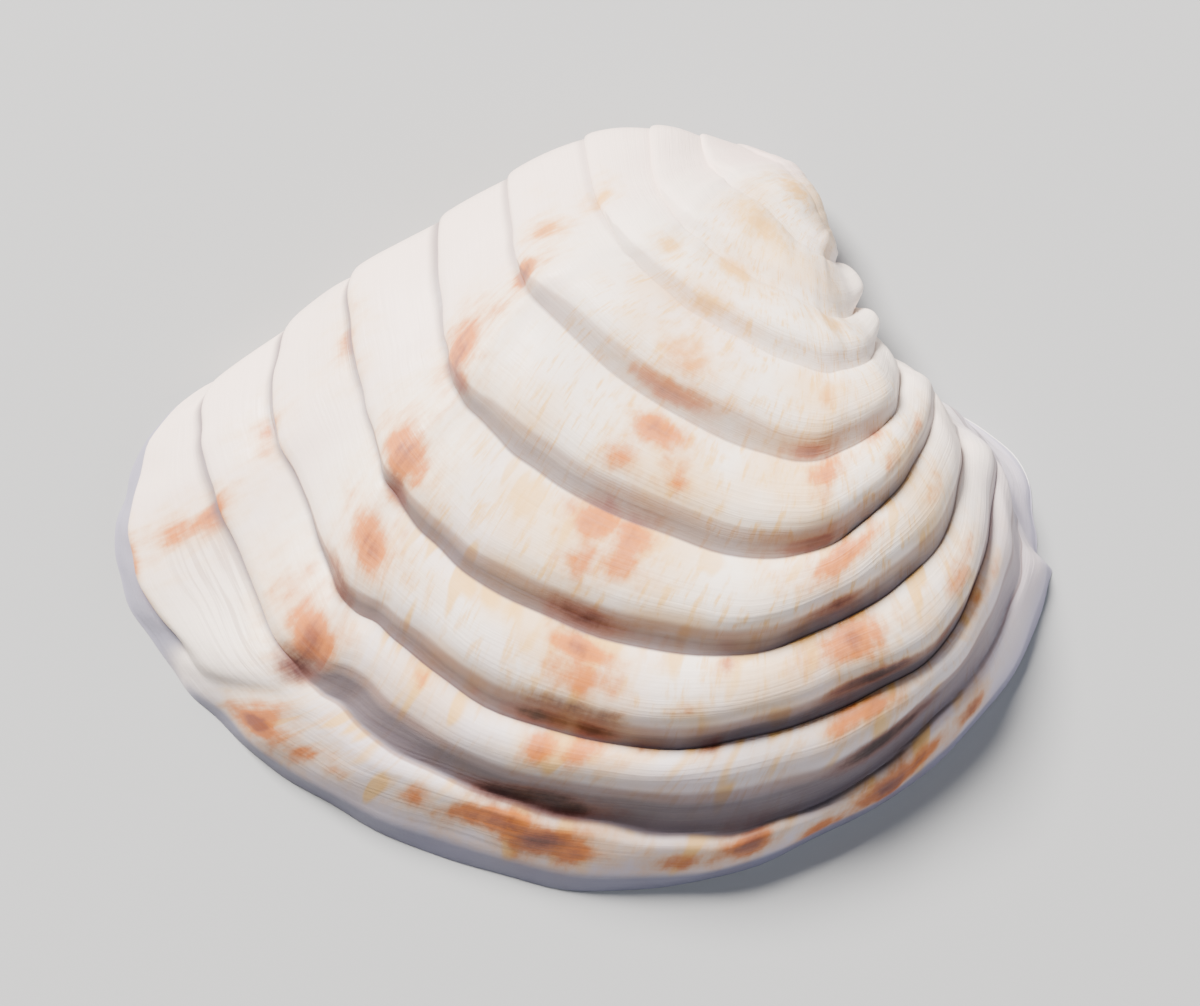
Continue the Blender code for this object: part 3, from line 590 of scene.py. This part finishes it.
def close_underneath(bm, sizes, layers):
    """Rim land, hinge plate and hollow: the rim drawn inwards, ring by ring, to the deepest point."""
    bearings, reaches = hollow_reach()
    top = np.array(HOLLOW_TOP)
    edges = [e for e in bm.edges if e.is_boundary]
    for v in {v for e in edges for v in e.verts}:
        v.co.z = RIM_BEVEL * MM
    old_share = 1.0
    for on_land, share in [(True, s) for s in LAND_RINGS] + [(False, s) for s in BOWL_RINGS]:
        made = bmesh.ops.extrude_edge_only(bm, edges=edges)["geom"]
        verts = [g for g in made if isinstance(g, bmesh.types.BMVert)]
        edges = [g for g in made if isinstance(g, bmesh.types.BMEdge) and g.is_boundary]
        plan = np.array([v.co.xy[:] for v in verts]) / MM - PLAN_SHIFT - top
        bearing, far = np.arctan2(plan[:, 1], plan[:, 0]), np.hypot(*plan.T)
        reach = np.interp(bearing, bearings, reaches)
        if on_land:
            far = reach + (far - reach) * share / old_share
            out = np.ones_like(far)
        else:
            far = far * share / old_share
            out = far / reach
        # the last ring on the land is the hollow's rim, from where the share counts down again
        old_share = share if share > 0 else 1.0
        x, y = top[0] + far * np.cos(bearing), top[1] + far * np.sin(bearing)
        scar = scar_mask(x, y) * (not on_land)
        z = ceiling(sizes, x, y, out) + SCAR_DEPTH * scar
        for v, px, py, pz, sc, q in zip(verts, x, y, z, scar, out):
            v.co = Vector((px + PLAN_SHIFT[0], py + PLAN_SHIFT[1], pz)) * MM
            v[layers["outside"]] = 0.0
            v[layers["scar"]] = sc
            v[layers["inward"]] = 0.0 if on_land else 1 - q
            v[layers["rim"]] = 1 - share if on_land else 1.0
    middle = Vector((top[0] + PLAN_SHIFT[0], top[1] + PLAN_SHIFT[1], sizes.hollow_depth / MM)) * MM
    bmesh.ops.pointmerge(bm, verts=list({v for e in edges for v in e.verts}), merge_co=middle)


def opaque(color):
    """The colour with full alpha, as colour sockets take it."""
    return (*color, 1.0)


class Bench:
    """Short calls for wiring a node tree from left to right."""

    def __init__(self, tree):
        self.tree = tree
        self.x = -1800

    def node(self, kind, settings=(), **inputs):
        """A new node, its settings given by name and its inputs by name or, as i3, by place."""
        node = self.tree.nodes.new(kind)
        self.x += 60
        node.location = (self.x, -40 * (len(self.tree.nodes) % 9))
        for key, value in dict(settings).items():
            setattr(node, key, value)
        for key, value in inputs.items():
            self.plug(node, key, value)
        return node

    def plug(self, node, key, value):
        """Link a socket to an input, or give the input a value of its own."""
        index = int(key[1:]) if key[0] == "i" and key[1:].isdigit() else key.replace("_", " ")
        if isinstance(value, bpy.types.NodeSocket):
            self.tree.links.new(value, node.inputs[index])
        else:
            node.inputs[index].default_value = value

    def attribute(self, name):
        return self.node("ShaderNodeAttribute", {"attribute_name": name}).outputs["Fac"]

    def math(self, operation, a, b=0.0):
        return self.node("ShaderNodeMath", {"operation": operation}, i0=a, i1=b).outputs[0]

    def times(self, product, *factors):
        """Product of any number of values."""
        for factor in factors:
            product = self.math("MULTIPLY", product, factor)
        return product

    def smooth(self, value, low, high, out_low=0.0, out_high=1.0):
        """Soft step from out_low to out_high while the value goes from low to high."""
        return self.node("ShaderNodeMapRange", {"interpolation_type": "SMOOTHSTEP"}, Value=value,
                         From_Min=low, From_Max=high, To_Min=out_low, To_Max=out_high).outputs["Result"]

    def mix(self, factor, a, b):
        return self.node("ShaderNodeMix", {"data_type": "RGBA"}, i0=factor, i6=a, i7=b).outputs[2]

    def centred(self, value, share):
        """A noise moved to swing around zero, and scaled."""
        return self.times(self.math("SUBTRACT", value, 0.5), share)

    def noise(self, vector, scale, detail=3.0, roughness=0.55):
        return self.node("ShaderNodeTexNoise", Vector=vector, Scale=scale, Detail=detail,
                         Roughness=roughness).outputs["Fac"]

    def shell_noise(self, station, coil, per_station, per_coil, detail=3.0, roughness=0.55):
        """Noise that follows the growth lines, with its own fineness along and across them."""
        place = self.node("ShaderNodeCombineXYZ", X=self.times(station, per_station),
                          Y=self.times(coil, per_coil)).outputs[0]
        return self.noise(place, 1.0, detail, roughness)


def growth_line_group():
    """Fine threads along the growth lines, with a little pitting: a height and a mask."""
    tree = bpy.data.node_groups.new("Growth threads", "ShaderNodeTree")
    face = tree.interface
    face.new_socket("Coordinates", in_out="INPUT", socket_type="NodeSocketVector")
    for name, value in (("Fineness", 1.0), ("Pitting", 0.3)):
        face.new_socket(name, in_out="INPUT", socket_type="NodeSocketFloat").default_value = value
    for name in ("Height", "Threads"):
        face.new_socket(name, in_out="OUTPUT", socket_type="NodeSocketFloat")
    b = Bench(tree)
    ins, outs = b.node("NodeGroupInput"), b.node("NodeGroupOutput")
    parts = b.node("ShaderNodeSeparateXYZ", Vector=ins.outputs["Coordinates"])
    station, coil = parts.outputs[0], b.times(parts.outputs[1], ins.outputs["Fineness"])
    lines = b.shell_noise(station, coil, 0.5, THREADS_PER_COIL, detail=2.0, roughness=0.6)
    bands = b.shell_noise(station, coil, 0.8, BANDS_PER_COIL)
    pits = b.noise(b.node("ShaderNodeTexCoord").outputs["Object"], PIT_SCALE, detail=2.0)
    threads = b.math("ADD", b.times(lines, 0.6), b.times(bands, 0.4))
    b.plug(outs, "Height", b.math("ADD", threads, b.times(pits, ins.outputs["Pitting"])))
    b.plug(outs, "Threads", threads)
    return tree


def new_material(name):
    material = bpy.data.materials.new(name)
    material.use_nodes = True
    material.node_tree.nodes.clear()
    return material, Bench(material.node_tree)


def ground_color(b, colors, at, noises):
    """Cream, with blush, honey streaks and washes, and a pale violet painted shade on the youngest rolls, the
    lip and the lunule.
    """
    station, coil, broad = at["station"], at["coil"], noises["broad"]
    pink = b.math("MAXIMUM", b.smooth(broad, 0.42, 0.66, 0.0, 0.3), b.smooth(station, 3.8, 2.6, 0.0, 0.4))
    beak = b.times(b.smooth(coil, 1.0, 1.9, 0.0, 0.7), b.smooth(broad, 0.35, 0.6))
    ground = b.mix(b.math("MAXIMUM", pink, beak), opaque(colors.cream), opaque(colors.blush))

    belly = b.times(b.smooth(station, 4.2, 5.2), b.smooth(station, 9.6, 8.8))
    streaks = b.times(b.smooth(noises["thin_streak"], 0.46, 0.62), b.smooth(noises["streak"], 0.42, 0.60))
    ground = b.mix(b.times(streaks, belly, 0.8), ground, opaque(colors.honey))
    wash = b.smooth(b.noise(noises["place"], 260.0, detail=2.0), 0.45, 0.65)
    ground = b.mix(b.times(wash, belly, 0.5), ground, opaque(colors.honey))

    # painted shade: the youngest rolls, the lip and the lunule are tinted pale violet
    cool = b.math("ADD", b.smooth(coil, 0.42, 0.08, 0.0, 0.5), b.smooth(coil, 0.075, 0.02, 0.0, 0.4))
    ground = b.mix(b.times(cool, b.smooth(station, 3.4, 5.4)), ground, opaque(colors.lavender_shade))
    lunule = b.times(b.smooth(station, 10.2, 10.8), b.smooth(coil, 0.5, 0.2))
    ground = b.mix(b.times(lunule, 0.5), ground, opaque(colors.lavender_shade))

    # short streaks that start at the upper edge of each roll
    scatter = b.shell_noise(station, coil, 5.5, 9.0, detail=1.0)
    tick = b.smooth(b.math("ADD", scatter, b.smooth(at["phase"], 0.7, 0.0, -0.08, 0.05)), 0.55, 0.66)
    return b.mix(b.times(tick, belly, b.smooth(coil, 0.7, 0.45), 0.85), ground, opaque(colors.honey))


def rust_marks(b, colors, at, noises, ground):
    """Frayed blotches over the ground: honey at their edges, russet at their hearts, paler at the beak."""
    rust = at["rust"]
    frayed = b.math("ADD", rust, b.centred(noises["streak"], 0.9))
    frayed = b.math("ADD", frayed, b.centred(noises["mottle"], 0.8))
    tone = b.mix(b.smooth(frayed, 0.25, 0.85), opaque(colors.honey), opaque(colors.rust))
    tone = b.mix(b.smooth(frayed, 0.80, 1.25), tone, opaque(colors.russet))
    tone = b.mix(b.smooth(at["coil"], 0.7, 1.1, 0.0, 0.85), tone, opaque(colors.honey))
    blotch = b.times(b.smooth(frayed, 0.04, 0.85), b.smooth(rust, 0.03, 0.35), 0.95)
    return b.mix(blotch, ground, tone)


def groove_shade(b, colors, at, ground):
    """Painted shade: a grey-violet tint on the steep sides and in the grooves, blue-grey under the lip, and
    an umber painted shadow line along the top of each steep side.
    """
    coil, flank = at["coil"], at["flank"]
    away = b.smooth(coil, 1.4, 0.3, 0.1, 1.0)
    # painted shade: strongest on the steep sides and at the bottoms of the grooves, weaker at the beak and
    # the front
    shade = b.math("MAXIMUM", b.smooth(flank, 0.18, 0.68, 0.0, 0.92),
                   b.smooth(at["groove"], 0.8, 1.0, 0.0, 0.90))
    shade = b.times(shade, b.smooth(at["station"], 10.0, 8.3, 0.45, 1.0), away)
    tone = b.mix(b.smooth(coil, 0.055, 0.035), opaque(colors.lilac_shade), opaque(colors.slate_shade))
    ground = b.mix(shade, ground, tone)
    # painted shadow: a brown line along the top of each steep side, just under the crest
    shadow_line = b.times(b.smooth(flank, 0.16, 0.36), b.smooth(flank, 0.64, 0.38), b.smooth(coil, 0.085, 0.1))
    return b.mix(b.times(shadow_line, away, 0.55), ground, opaque(colors.umber))


def wrinkle_mask(b, at):
    """Fine wrinkles where the last scale folds down to the keel."""
    station, coil = at["station"], at["coil"]
    lines = b.shell_noise(station, coil, 1.1, 190.0, detail=2.0)
    folds = b.times(b.smooth(station, 2.5, 3.2), b.smooth(station, 4.3, 3.9),
                    b.smooth(coil, 0.15, 0.13), b.smooth(coil, 0.06, 0.12))
    return b.times(b.smooth(lines, 0.46, 0.62), folds)


def dark_marks(b, colors, at, noises, ground):
    """Plum spots with umber edges, mostly in the grooves."""
    dark = at["dark"]
    blot = b.math("ADD", dark, b.centred(noises["mottle"], 0.8))
    blot = b.math("ADD", blot, b.centred(noises["thin_streak"], 0.25))
    stain = b.mix(b.smooth(blot, 0.45, 1.0), opaque(colors.umber), opaque(colors.plum))
    return b.mix(b.times(b.smooth(blot, 0.08, 0.8), b.smooth(dark, 0.03, 0.3)), ground, stain)


def outside_material(colors, threads):
    """Cream shell with rust rays, honey streaks and dark marks, and painted shade on the steep sides, in the
    grooves and under the lip.
    """
    material, b = new_material("shell_outside")
    place = b.node("ShaderNodeTexCoord").outputs["Object"]
    at = {name: b.attribute(name) for name in ("station", "coil", "groove", "phase", "rust", "dark", "flank")}
    station, coil = at["station"], at["coil"]
    group = b.node("ShaderNodeGroup", {"node_tree": threads})
    b.plug(group, "Coordinates", b.node("ShaderNodeCombineXYZ", X=station, Y=coil).outputs[0])
    noises = {
        "place": place,
        "broad": b.noise(place, 190.0, detail=4.0),
        "mottle": b.noise(place, 620.0, detail=5.0, roughness=0.65),
        "streak": b.shell_noise(station, coil, 7.0, 16.0, detail=4.0, roughness=0.6),
        "thin_streak": b.shell_noise(station, coil, 22.0, 12.0, roughness=0.6),
    }
    ground = ground_color(b, colors, at, noises)
    ground = rust_marks(b, colors, at, noises, ground)
    ground = groove_shade(b, colors, at, ground)
    wrinkle = wrinkle_mask(b, at)
    ground = b.mix(b.times(wrinkle, 0.35), ground, opaque(colors.umber))
    ground = dark_marks(b, colors, at, noises, ground)
    ground = b.mix(b.smooth(group.outputs["Threads"], 0.35, 0.7, 0.0, 0.07), ground, THREAD_TINT)

    height = b.math("SUBTRACT", group.outputs["Height"], b.times(wrinkle, 0.3))
    bump = b.node("ShaderNodeBump", Strength=0.35, Distance=0.00012, Height=height)
    rough = b.smooth(noises["mottle"], 0.3, 0.75, 0.36, 0.55)
    bsdf = b.node("ShaderNodeBsdfPrincipled", Base_Color=ground, Roughness=rough, Normal=bump.outputs[0],
                  IOR=1.5, Specular_IOR_Level=0.3)
    b.plug(b.node("ShaderNodeOutputMaterial"), "Surface", bsdf.outputs[0])
    return material


def inside_material(colors):
    """Smooth white inside, duller in the muscle scars and along the line where the mantle held."""
    material, b = new_material("shell_inside")
    place = b.node("ShaderNodeTexCoord").outputs["Object"]
    scar, inward, rim = b.attribute("scar"), b.attribute("inward"), b.attribute("rim")
    cloud = b.noise(place, 130.0, detail=4.0)
    fine = b.noise(place, 900.0)
    tint = b.mix(b.smooth(cloud, 0.4, 0.68, 0.0, 0.4), opaque(colors.porcelain), CLOUD_TINT)
    line = b.times(b.smooth(inward, 0.14, 0.18), b.smooth(inward, 0.225, 0.185), 0.7)
    dull = b.math("MAXIMUM", scar, line)
    tint = b.mix(b.times(dull, 0.35), tint, SCAR_TINT)
    tint = b.mix(b.smooth(inward, 0.35, 0.9, 0.0, 0.35), tint, DEEP_TINT)

    # notches along the belly's inner rim
    parts = b.node("ShaderNodeSeparateXYZ", Vector=place)
    bearing = b.math("ARCTAN2", b.math("SUBTRACT", parts.outputs[1], NOTCH_CENTRE[1]),
                     b.math("SUBTRACT", parts.outputs[0], NOTCH_CENTRE[0]))
    belly = b.smooth(parts.outputs[1], 0.004, -0.001)
    edge = b.times(b.smooth(rim, 0.35, 0.8), b.smooth(inward, 0.07, 0.02))
    notch = b.times(b.math("SINE", b.times(bearing, NOTCHES)), belly, edge)

    height = b.math("ADD", b.times(notch, 0.8), b.times(fine, 0.12))
    height = b.math("SUBTRACT", height, b.times(dull, 0.5))
    bump = b.node("ShaderNodeBump", Strength=0.5, Distance=0.00016, Height=height)
    rough = b.math("ADD", b.times(dull, 0.2), b.smooth(cloud, 0.3, 0.7, 0.24, 0.34))
    bsdf = b.node("ShaderNodeBsdfPrincipled", Base_Color=tint, Roughness=rough, Normal=bump.outputs[0],
                  IOR=1.53)
    b.plug(b.node("ShaderNodeOutputMaterial"), "Surface", bsdf.outputs[0])
    return material


class CLAM_OT_valve(bpy.types.Operator):
    """Grow the valve: ridged outside, flat rim, hinge teeth and hollow"""
    bl_idname = "clam.valve"
    bl_label = "Valve"

    def execute(self, context):
        sizes, colors = context.scene.clam_sizes, context.scene.clam_colors
        bm = bmesh.new()
        layers = {name: bm.verts.layers.float.new(name) for name in LAYERS}
        grow_outside(bm, sizes, layers)
        close_underneath(bm, sizes, layers)
        bmesh.ops.recalc_face_normals(bm, faces=bm.faces)
        for face in bm.faces:
            face.smooth = True
            face.material_index = 0 if all(v[layers["outside"]] > 0.5 for v in face.verts) else 1
        if any(not e.is_manifold for e in bm.edges):
            raise RuntimeError("The valve did not close")
        mesh = bpy.data.meshes.new("valve_shell")
        bm.to_mesh(mesh)
        bm.free()
        mesh.set_sharp_from_angle(angle=math.radians(60))
        valve = bpy.data.objects.new("valve_shell", mesh)
        context.scene.collection.objects.link(valve)
        mesh.materials.append(outside_material(colors, growth_line_group()))
        mesh.materials.append(inside_material(colors))
        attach(valve, "root")
        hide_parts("valve")
        return {"FINISHED"}


def soft_light(context, name, place, size, power, tint):
    """A round area lamp that looks at the valve."""
    lamp = bpy.data.lights.new(name, "AREA")
    lamp.shape = "DISK"
    lamp.size, lamp.energy, lamp.color = size, power, tint
    light = bpy.data.objects.new(name, lamp)
    light.location = place
    light.rotation_euler = (Vector(LIGHT_TARGET) - Vector(place)).to_track_quat("-Z", "Y").to_euler()
    context.scene.collection.objects.link(light)


class CLAM_OT_stage(bpy.types.Operator):
    """Set the pale floor, the soft lights and the camera"""
    bl_idname = "clam.stage"
    bl_label = "Stage"

    def execute(self, context):
        bm = bmesh.new()
        bmesh.ops.create_grid(bm, x_segments=1, y_segments=1, size=FLOOR_HALF)
        mesh = bpy.data.meshes.new("floor")
        bm.to_mesh(mesh)
        bm.free()
        floor = bpy.data.objects.new("floor", mesh)
        context.scene.collection.objects.link(floor)
        paper, b = new_material("floor_paper")
        bsdf = b.node("ShaderNodeBsdfPrincipled", Base_Color=FLOOR_GREY, Roughness=0.85)
        b.plug(b.node("ShaderNodeOutputMaterial"), "Surface", bsdf.outputs[0])
        mesh.materials.append(paper)

        for light in LIGHTS:
            soft_light(context, *light)
        world = bpy.data.worlds.new("studio")
        context.scene.world = world
        world.use_nodes = True
        sky = world.node_tree.nodes["Background"]
        sky.inputs["Color"].default_value = SKY_COLOR
        sky.inputs["Strength"].default_value = SKY_STRENGTH

        camera = bpy.data.objects.new("camera", bpy.data.cameras.new("camera"))
        camera.data.sensor_width = SENSOR_WIDTH
        camera.data.lens = SENSOR_WIDTH * VIEW_DISTANCE / PHOTO_WIDTH
        camera.data.clip_start = NEAREST_SEEN
        up = math.radians(VIEW_ELEVATION)
        away = Vector((0.0, -math.cos(up), math.sin(up)))
        camera.location = Vector(AIM) + away * VIEW_DISTANCE
        camera.rotation_euler = (math.radians(90.0 - VIEW_ELEVATION), 0.0, 0.0)
        context.scene.collection.objects.link(camera)
        context.scene.camera = camera
        return {"FINISHED"}


class CLAM_PT_panel(bpy.types.Panel):
    """Sizes, colours and steps of the clam valve"""
    bl_idname = "CLAM_PT_panel"
    bl_label = "Clam valve"
    bl_space_type = "VIEW_3D"
    bl_region_type = "UI"
    bl_category = "Clam"

    def draw(self, context):
        for group in (context.scene.clam_sizes, context.scene.clam_colors):
            for name in group.__annotations__:
                self.layout.prop(group, name)
        self.layout.operator("clam.valve")
        self.layout.operator("clam.stage")


CLASSES = (ClamSizes, ClamColors, CLAM_OT_valve, CLAM_OT_stage, CLAM_PT_panel)


def register():
    for cls in CLASSES:
        bpy.utils.register_class(cls)
    bpy.types.Scene.clam_sizes = PointerProperty(type=ClamSizes)
    bpy.types.Scene.clam_colors = PointerProperty(type=ClamColors)


def unregister():
    del bpy.types.Scene.clam_colors
    del bpy.types.Scene.clam_sizes
    for cls in reversed(CLASSES):
        bpy.utils.unregister_class(cls)


def main():
    register()
    bpy.ops.clam.valve()
    bpy.ops.clam.stage()


if __name__ == "__main__":
    main()
